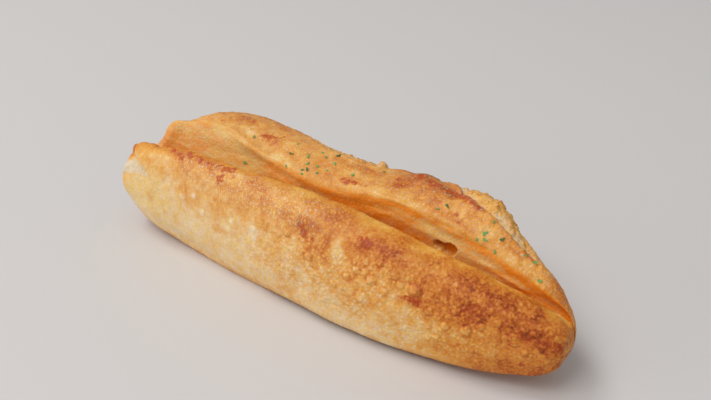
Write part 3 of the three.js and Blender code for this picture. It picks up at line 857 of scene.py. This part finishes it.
        ramp = add(tree, "ShaderNodeValToRGB", {0: found["brown"]})
        stops = ramp.color_ramp.elements
        for at, _ in self.stages[1:-1]:
            stops.new(at / DARKEST)
        for stop, (at, colour) in zip(stops, self.stages, strict=True):
            stop.position, stop.color = at / DARKEST, linear(colour)
        found["crust"] = ramp.outputs[0]
        for name, share, first, second, way in (
            ("crust", "glazed", "crust", self.glaze, "MULTIPLY"),
            ("crust", "scorch", "crust", self.ruddy, "MIX"),
            ("crust", "powder", "crust", self.flour, "MIX"),
            ("crust", "specks", "crust", self.flour, "MIX"),
            ("wall", "soaked_share", self.crumb_pale, self.crumb_soaked, "MIX"),
            ("crumb", "dough_and_painted_light", self.torn_gold, self.torn_pale, "MIX"),
            ("crumb", "tip", "crumb", self.torn_tip, "MIX"),
            ("colour", "cut", "crust", "wall", "MIX"),
            ("colour", "torn", "colour", "crumb", "MIX"),
            ("colour", "hollow", "colour", self.hollow, "MIX"),
            ("colour", "golden_share", "colour", self.yellowing, "MULTIPLY"),
        ):
            wires = {0: read(share), 6: read(first), 7: read(second)}
            found[name] = add(tree, "ShaderNodeMix", wires, data_type="RGBA", blend_type=way).outputs[2]

        relief = {"Strength": self.bump_strength, "Distance": self.bump_mm * MM, "Height": found["high"]}
        look = {
            "Base Color": found["colour"],
            "Roughness": found["rough"],
            "IOR": self.ior,
            "Specular IOR Level": self.specular,
            "Normal": add(tree, "ShaderNodeBump", relief).outputs[0],
        }
        shader = add(tree, "ShaderNodeBsdfPrincipled", look)
        add(tree, "ShaderNodeOutputMaterial", {"Surface": shader.outputs[0]})
        return made


@dataclass(frozen=True)
class ParsleyFinish:
    """Dried, cut parsley leaf: thin and matt, with an IOR near 1.45 and a roughness near 0.65."""

    name: str
    light: str
    dark: str
    vein_mm: float = 0.6
    bump_mm: float = 0.1
    bump_strength: float = 0.5
    roughness: float = 0.65
    ior: float = 1.45

    def build(self) -> bpy.types.Material:
        """Builds the node material: two greens mottled at the spacing of a leaf's veins."""
        made, tree = new_material(self.name)
        place = add(tree, "ShaderNodeTexCoord").outputs["Object"]
        veins = add(tree, "ShaderNodeTexNoise", {"Vector": place, "Scale": 1 / (self.vein_mm * MM), "Detail": 2.0})
        vein = veins.outputs["Fac"]
        greens = {0: vein, 6: linear(self.dark), 7: linear(self.light)}
        relief = {"Strength": self.bump_strength, "Distance": self.bump_mm * MM, "Height": vein}
        look = {
            "Base Color": add(tree, "ShaderNodeMix", greens, data_type="RGBA").outputs[2],
            "Roughness": self.roughness,
            "IOR": self.ior,
            "Normal": add(tree, "ShaderNodeBump", relief).outputs[0],
        }
        shader = add(tree, "ShaderNodeBsdfPrincipled", look)
        add(tree, "ShaderNodeOutputMaterial", {"Surface": shader.outputs[0]})
        return made


class LeafTone(Enum):
    """How a scrap of parsley has dried."""

    FRESH = ParsleyFinish("parsley dried green", "#86B962", "#4C9048")
    OLIVE = ParsleyFinish("parsley dried olive", "#95A24A", "#66722C")
    DARK = ParsleyFinish("parsley dried dark", "#5F7C36", "#3C4E20")


@dataclass(frozen=True)
class FloorFinish:
    """Painted board: an even, matt, pale grey with a roughness near 0.5."""

    name: str = "pale painted board"
    colour: str = "#D2CFCE"
    roughness: float = 0.5

    def build(self) -> bpy.types.Material:
        """Builds the node material."""
        made, tree = new_material(self.name)
        look = {"Base Color": linear(self.colour), "Roughness": self.roughness}
        shader = add(tree, "ShaderNodeBsdfPrincipled", look)
        add(tree, "ShaderNodeOutputMaterial", {"Surface": shader.outputs[0]})
        return made


# ---- The pieces
@dataclass
class Loaf:
    """The loaf, made as one closed skin: the body's form, moved by what the oven did to it."""

    form: LoafForm = field(default_factory=LoafForm)
    oven: OvenWork = field(default_factory=OvenWork)
    finish: CrustFinish = field(default_factory=CrustFinish)
    rings: int = 417
    lines: int = 236
    # How closely the lines lie round a section, as u and weight.
    closeness: Curve = (
        (0, 0.25), (1.2, 0.3), (2, 1.0), (3, 1.3), (5.5, 1.3), (6.5, 1.1), (8, 0.7), (9, 1.5), (9.8, 1.5),
        (10.6, 1.1), (12, 1.2), (13, 1.4), (14.6, 1.4), (16, 0.7), (19, 0.55), (20, 0.25), (21, 0.25),
    )  # fmt: skip
    # Where the rings crowd round the burst bubble, in mm along the loaf, how far they do, and how much.
    burst_x: float = 57.8
    burst_reach: float = 6.0
    crowding: float = 0.7
    grid: Array = field(init=False)

    def places(self) -> tuple[Array, Array]:
        """Spaces the rings evenly over the skin, closer at the burst bubble, and the lines by closeness.

        Returns:
            Each ring's t and each line's u.
        """
        fine_t, fine_u = np.sin(np.linspace(-math.pi / 2, math.pi / 2, 3001)), np.linspace(0, 21, 421)
        rough = self.form.surface(fine_t, fine_u[:-1:10])
        strides = np.linalg.norm(np.diff(rough, axis=0), axis=-1).max(1)
        middle = (fine_t[1:] + fine_t[:-1]) / 2 * self.form.length / 2
        strides *= 1 + self.crowding * np.exp(-(((middle - self.burst_x) / self.burst_reach) ** 4))
        run = np.concatenate([[0], np.cumsum(strides)])
        t = np.interp(np.linspace(0, run[-1], self.rings + 2), run, fine_t)
        body = self.form.surface(np.linspace(-0.8, 0.8, 17), fine_u)
        spans = np.linalg.norm(np.diff(body, axis=1), axis=-1).mean(0)
        spans *= np.interp((fine_u[1:] + fine_u[:-1]) / 2, *np.transpose(self.closeness))
        run = np.concatenate([[0], np.cumsum(spans)])
        u = np.interp(np.arange(self.lines) / self.lines * run[-1], run, fine_u)
        return t, u

    def fit(self, points: Array) -> Array:
        """Scales the moved skin back into the CAD loaf's box, in mm, with its flat base on the floor."""
        low, high = (np.array(c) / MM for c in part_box("loaf"))
        found_low, found_high = points.reshape(-1, 3).min(0), points.reshape(-1, 3).max(0)
        return low + (points - found_low) * (high - low) / (found_high - found_low)

    def build(self) -> bpy.types.Object:
        """Builds the loaf and dresses it.

        Returns:
            The loaf's piece.
        """
        t, u = self.places()
        base = self.form.surface(t, u)
        inner = base[1:-1]
        strides = np.linalg.norm(np.diff(inner, axis=1), axis=-1)
        round_ = np.concatenate([np.zeros((len(inner), 1)), np.cumsum(strides, axis=1)], axis=1)
        skin = Skin(inner, normals_of(base)[1:-1], (t[1:-1] * self.form.length / 2)[:, None], u[None, :], round_)
        zones = Zones(self.oven, skin)
        moved = inner + self.oven.relief(skin, zones)
        moved[..., 2] = np.maximum(moved[..., 2], 0)
        tips = np.stack([base[0, 0], base[-1, 0]])
        whole = self.fit(np.concatenate([moved.reshape(-1, 3), tips]))
        self.grid = whole[:-2].reshape(moved.shape)
        piece = closed_surface("loaf_skin", self.grid, whole[-2], whole[-1])
        for name, values in self.oven.masks(skin, zones).items():
            stored = piece.data.attributes.new(name, "FLOAT", "POINT")
            ends = [values[0].mean(), values[-1].mean()]
            stored.data.foreach_set("value", np.concatenate([values.ravel(), ends]).astype(np.float32))
        piece.data.materials.append(self.finish.build())
        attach(piece, "root")
        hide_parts("loaf")
        return piece


@dataclass
class Parsley:
    """The scraps of dried leaf. Each lies where its CAD flake is, bent to the crust beneath it."""

    skin: Array
    seed: int = 7
    thickness: float = 0.16
    gap: float = 0.06
    lines: int = 34
    rings: int = 15
    # A scrap's size as a share of its flake's box, from corner to corner, and its outline's share of that.
    size_share: float = 0.47
    outline_share: float = 0.62
    # How far round a scrap the crust is looked at, in mm, and the turn from each scrap to the next.
    look_round: float = 3.2
    turn_degrees: float = 137.5
    tones: tuple[LeafTone, ...] = (
        LeafTone.FRESH, LeafTone.FRESH, LeafTone.OLIVE, LeafTone.FRESH, LeafTone.DARK, LeafTone.FRESH,
    )  # fmt: skip

    def leaf(self, node: str, number: int, materials: dict[LeafTone, bpy.types.Material]) -> bpy.types.Object:
        """Builds one scrap: a closed pillow over a lobed outline, cupped and crumpled.

        The outline is a sum of cosines of the angle. The crust under the scrap is fitted by a quadratic,
        and the scrap's height follows it.

        Args:
            node: The CAD flake that it replaces.
            number: Its place in the row of flakes, from 0.
            materials: The material of each tone.

        Returns:
            The scrap's piece.
        """
        source = np.random.default_rng(self.seed + number)
        low, high = (np.array(c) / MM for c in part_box(node))
        middle, size = (low + high) / 2, float(np.linalg.norm(high - low)) * self.size_share
        points, normals = self.skin.reshape(-1, 3), normals_of(self.skin).reshape(-1, 3)
        away = np.linalg.norm(points - middle, axis=1)
        near = away < self.look_round
        up = normals[near].mean(0)
        up /= np.linalg.norm(up)
        along = np.cross([0, 1, 0], up)
        along /= np.linalg.norm(along)
        side = np.cross(up, along)
        local = points[near] - middle
        a, b, h = local @ along, local @ side, local @ up
        fitted = np.linalg.lstsq(self.powers(a, b), h, rcond=None)[0]

        angle = np.linspace(0, 2 * math.pi, self.lines, endpoint=False)[None, :]
        polar = (np.linspace(0, math.pi, self.rings + 2)[1:-1])[:, None]
        phase = source.uniform(0, 2 * math.pi, 4)
        lobes = 1 + 0.2 * np.cos(2 * angle + phase[0]) + 0.22 * np.cos(3 * angle + phase[1])
        lobes += 0.14 * np.cos(5 * angle + phase[2]) + 0.07 * np.cos(9 * angle + phase[3])
        out = np.sin(polar) ** 0.7
        narrow = source.uniform(0.5, 0.8)
        turn = math.radians(self.turn_degrees * number)
        flat_x = size * self.outline_share * lobes * out * np.cos(angle)
        flat_y = size * self.outline_share * narrow * lobes * out * np.sin(angle)
        p = flat_x * math.cos(turn) - flat_y * math.sin(turn)
        q = flat_x * math.sin(turn) + flat_y * math.cos(turn)
        crumple = 0.16 * np.sin(2.6 * flat_x + phase[0]) * np.cos(3.1 * flat_y + phase[1]) * out
        curl = 0.10 * (flat_x**2 + flat_y**2) + 0.12 * flat_x * source.uniform(-1, 1)
        lie = self.powers(p, q) @ fitted
        lift = self.gap + self.thickness / 2 + curl - (curl + crumple).min() + crumple
        rise = lie + lift + self.thickness / 2 * np.cos(polar)
        grid = middle + p[..., None] * along + q[..., None] * side + rise[..., None] * up
        tips = [grid[i].mean(0) + up * shift for i, shift in ((0, 0.004), (-1, -0.004))]
        piece = closed_surface(node.replace("flake", "leaf"), grid[:, ::-1][::-1], tips[1], tips[0])
        piece.data.materials.append(materials[self.tones[number % len(self.tones)]])
        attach(piece, "root")
        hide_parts(node)
        return piece

    @staticmethod
    def powers(a: Array, b: Array) -> Array:
        """The terms of a quadratic in two lengths: 1, a, b, a^2, ab, b^2."""
        return np.stack([np.ones_like(a), a, b, a * a, a * b, b * b], -1)

    def build(self) -> list[bpy.types.Object]:
        """Builds every scrap."""
        materials = {tone: tone.value.build() for tone in LeafTone}
        nodes = sorted(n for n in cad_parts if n.startswith("parsley_flake_"))
        return [self.leaf(node, i, materials) for i, node in enumerate(nodes)]


# ---- The studio
@dataclass(frozen=True)
class Lamp:
    """A square soft light. Its place, aim and side are in metres, and its power is in watts."""

    name: str
    place: tuple[float, float, float]
    side: float
    power: float
    tint: str = "#FFFFFF"
    aim: tuple[float, float, float] = (0.0, 0.0, 0.03)

    def build(self) -> None:
        """Hangs the light and turns it to its aim."""
        light = bpy.data.lights.new(self.name, "AREA")
        light.size, light.energy, light.color = self.side, self.power, linear(self.tint)[:3]
        made = bpy.data.objects.new(self.name, light)
        made.location = self.place
        away = np.array(self.place) - np.array(self.aim)
        tilt = math.atan2(math.hypot(away[0], away[1]), away[2])
        made.rotation_euler = (tilt, 0, math.atan2(away[0], -away[1]))
        bpy.context.scene.collection.objects.link(made)


@dataclass
class Studio:
    """A pale floor, an even sky, three soft lamps and the camera. Lengths are in metres here."""

    lens: float = 40.0
    sensor: float = 36.0
    stand: tuple[float, float, float] = (0.1631, -0.24164, 0.21785)
    heading: float = 31.85
    pitch: float = 31.4
    clip: tuple[float, float] = (0.01, 20.0)
    floor_reach: float = 4.0
    sky: str = "#FFFFFF"
    sky_strength: float = 0.395
    lamps: tuple[Lamp, ...] = (
        Lamp("key light", (-1.2, -0.2, 2.3), 0.8, 17.2),
        Lamp("low fill", (-1.7, -1.7, 0.55), 1.2, 9.8),
        Lamp("front light", (-0.5, -1.3, 2.2), 1.3, 26.4, "#FFFCF8"),
    )

    def floor(self) -> bpy.types.Object:
        """Lays the floor just under the loaf."""
        half = self.floor_reach
        mesh = bpy.data.meshes.new("floor")
        corners = [(-half, -half, 0), (half, -half, 0), (half, half, 0), (-half, half, 0)]
        mesh.from_pydata(corners, [], [(0, 1, 2, 3)])
        mesh.materials.append(FloorFinish().build())
        made = bpy.data.objects.new("floor", mesh)
        bpy.context.scene.collection.objects.link(made)
        return made

    def camera(self) -> None:
        """Stands the camera at the front right, looking down at the loaf."""
        made = bpy.data.cameras.new("camera")
        made.lens, made.sensor_width = self.lens, self.sensor
        made.clip_start, made.clip_end = self.clip
        holder = bpy.data.objects.new("camera", made)
        holder.location = self.stand
        holder.rotation_euler = (math.radians(90 - self.pitch), 0, math.radians(self.heading))
        bpy.context.scene.collection.objects.link(holder)
        bpy.context.scene.camera = holder

    def build(self) -> None:
        """Sets up the whole studio."""
        scene = bpy.context.scene
        scene.view_settings.view_transform = "Standard"
        world = bpy.data.worlds.new("soft room")
        world.use_nodes = True
        world.node_tree.nodes.clear()
        light = {"Color": linear(self.sky), "Strength": self.sky_strength}
        sky = add(world.node_tree, "ShaderNodeBackground", light)
        add(world.node_tree, "ShaderNodeOutputWorld", {"Surface": sky.outputs[0]})
        scene.world = world
        self.floor()
        for lamp in self.lamps:
            lamp.build()
        self.camera()


def main() -> None:
    """Builds the loaf, the parsley and the studio in order."""
    logging.basicConfig(level=logging.INFO, format="%(message)s")
    loaf = Loaf()
    piece = loaf.build()
    LOG.info("%s: %d faces", piece.name, len(piece.data.polygons))
    for leaf in Parsley(loaf.grid).build():
        LOG.info("%s: %d faces", leaf.name, len(leaf.data.polygons))
    Studio().build()
    LOG.info("studio: floor, lights and camera")


if __name__ == "__main__":
    main()
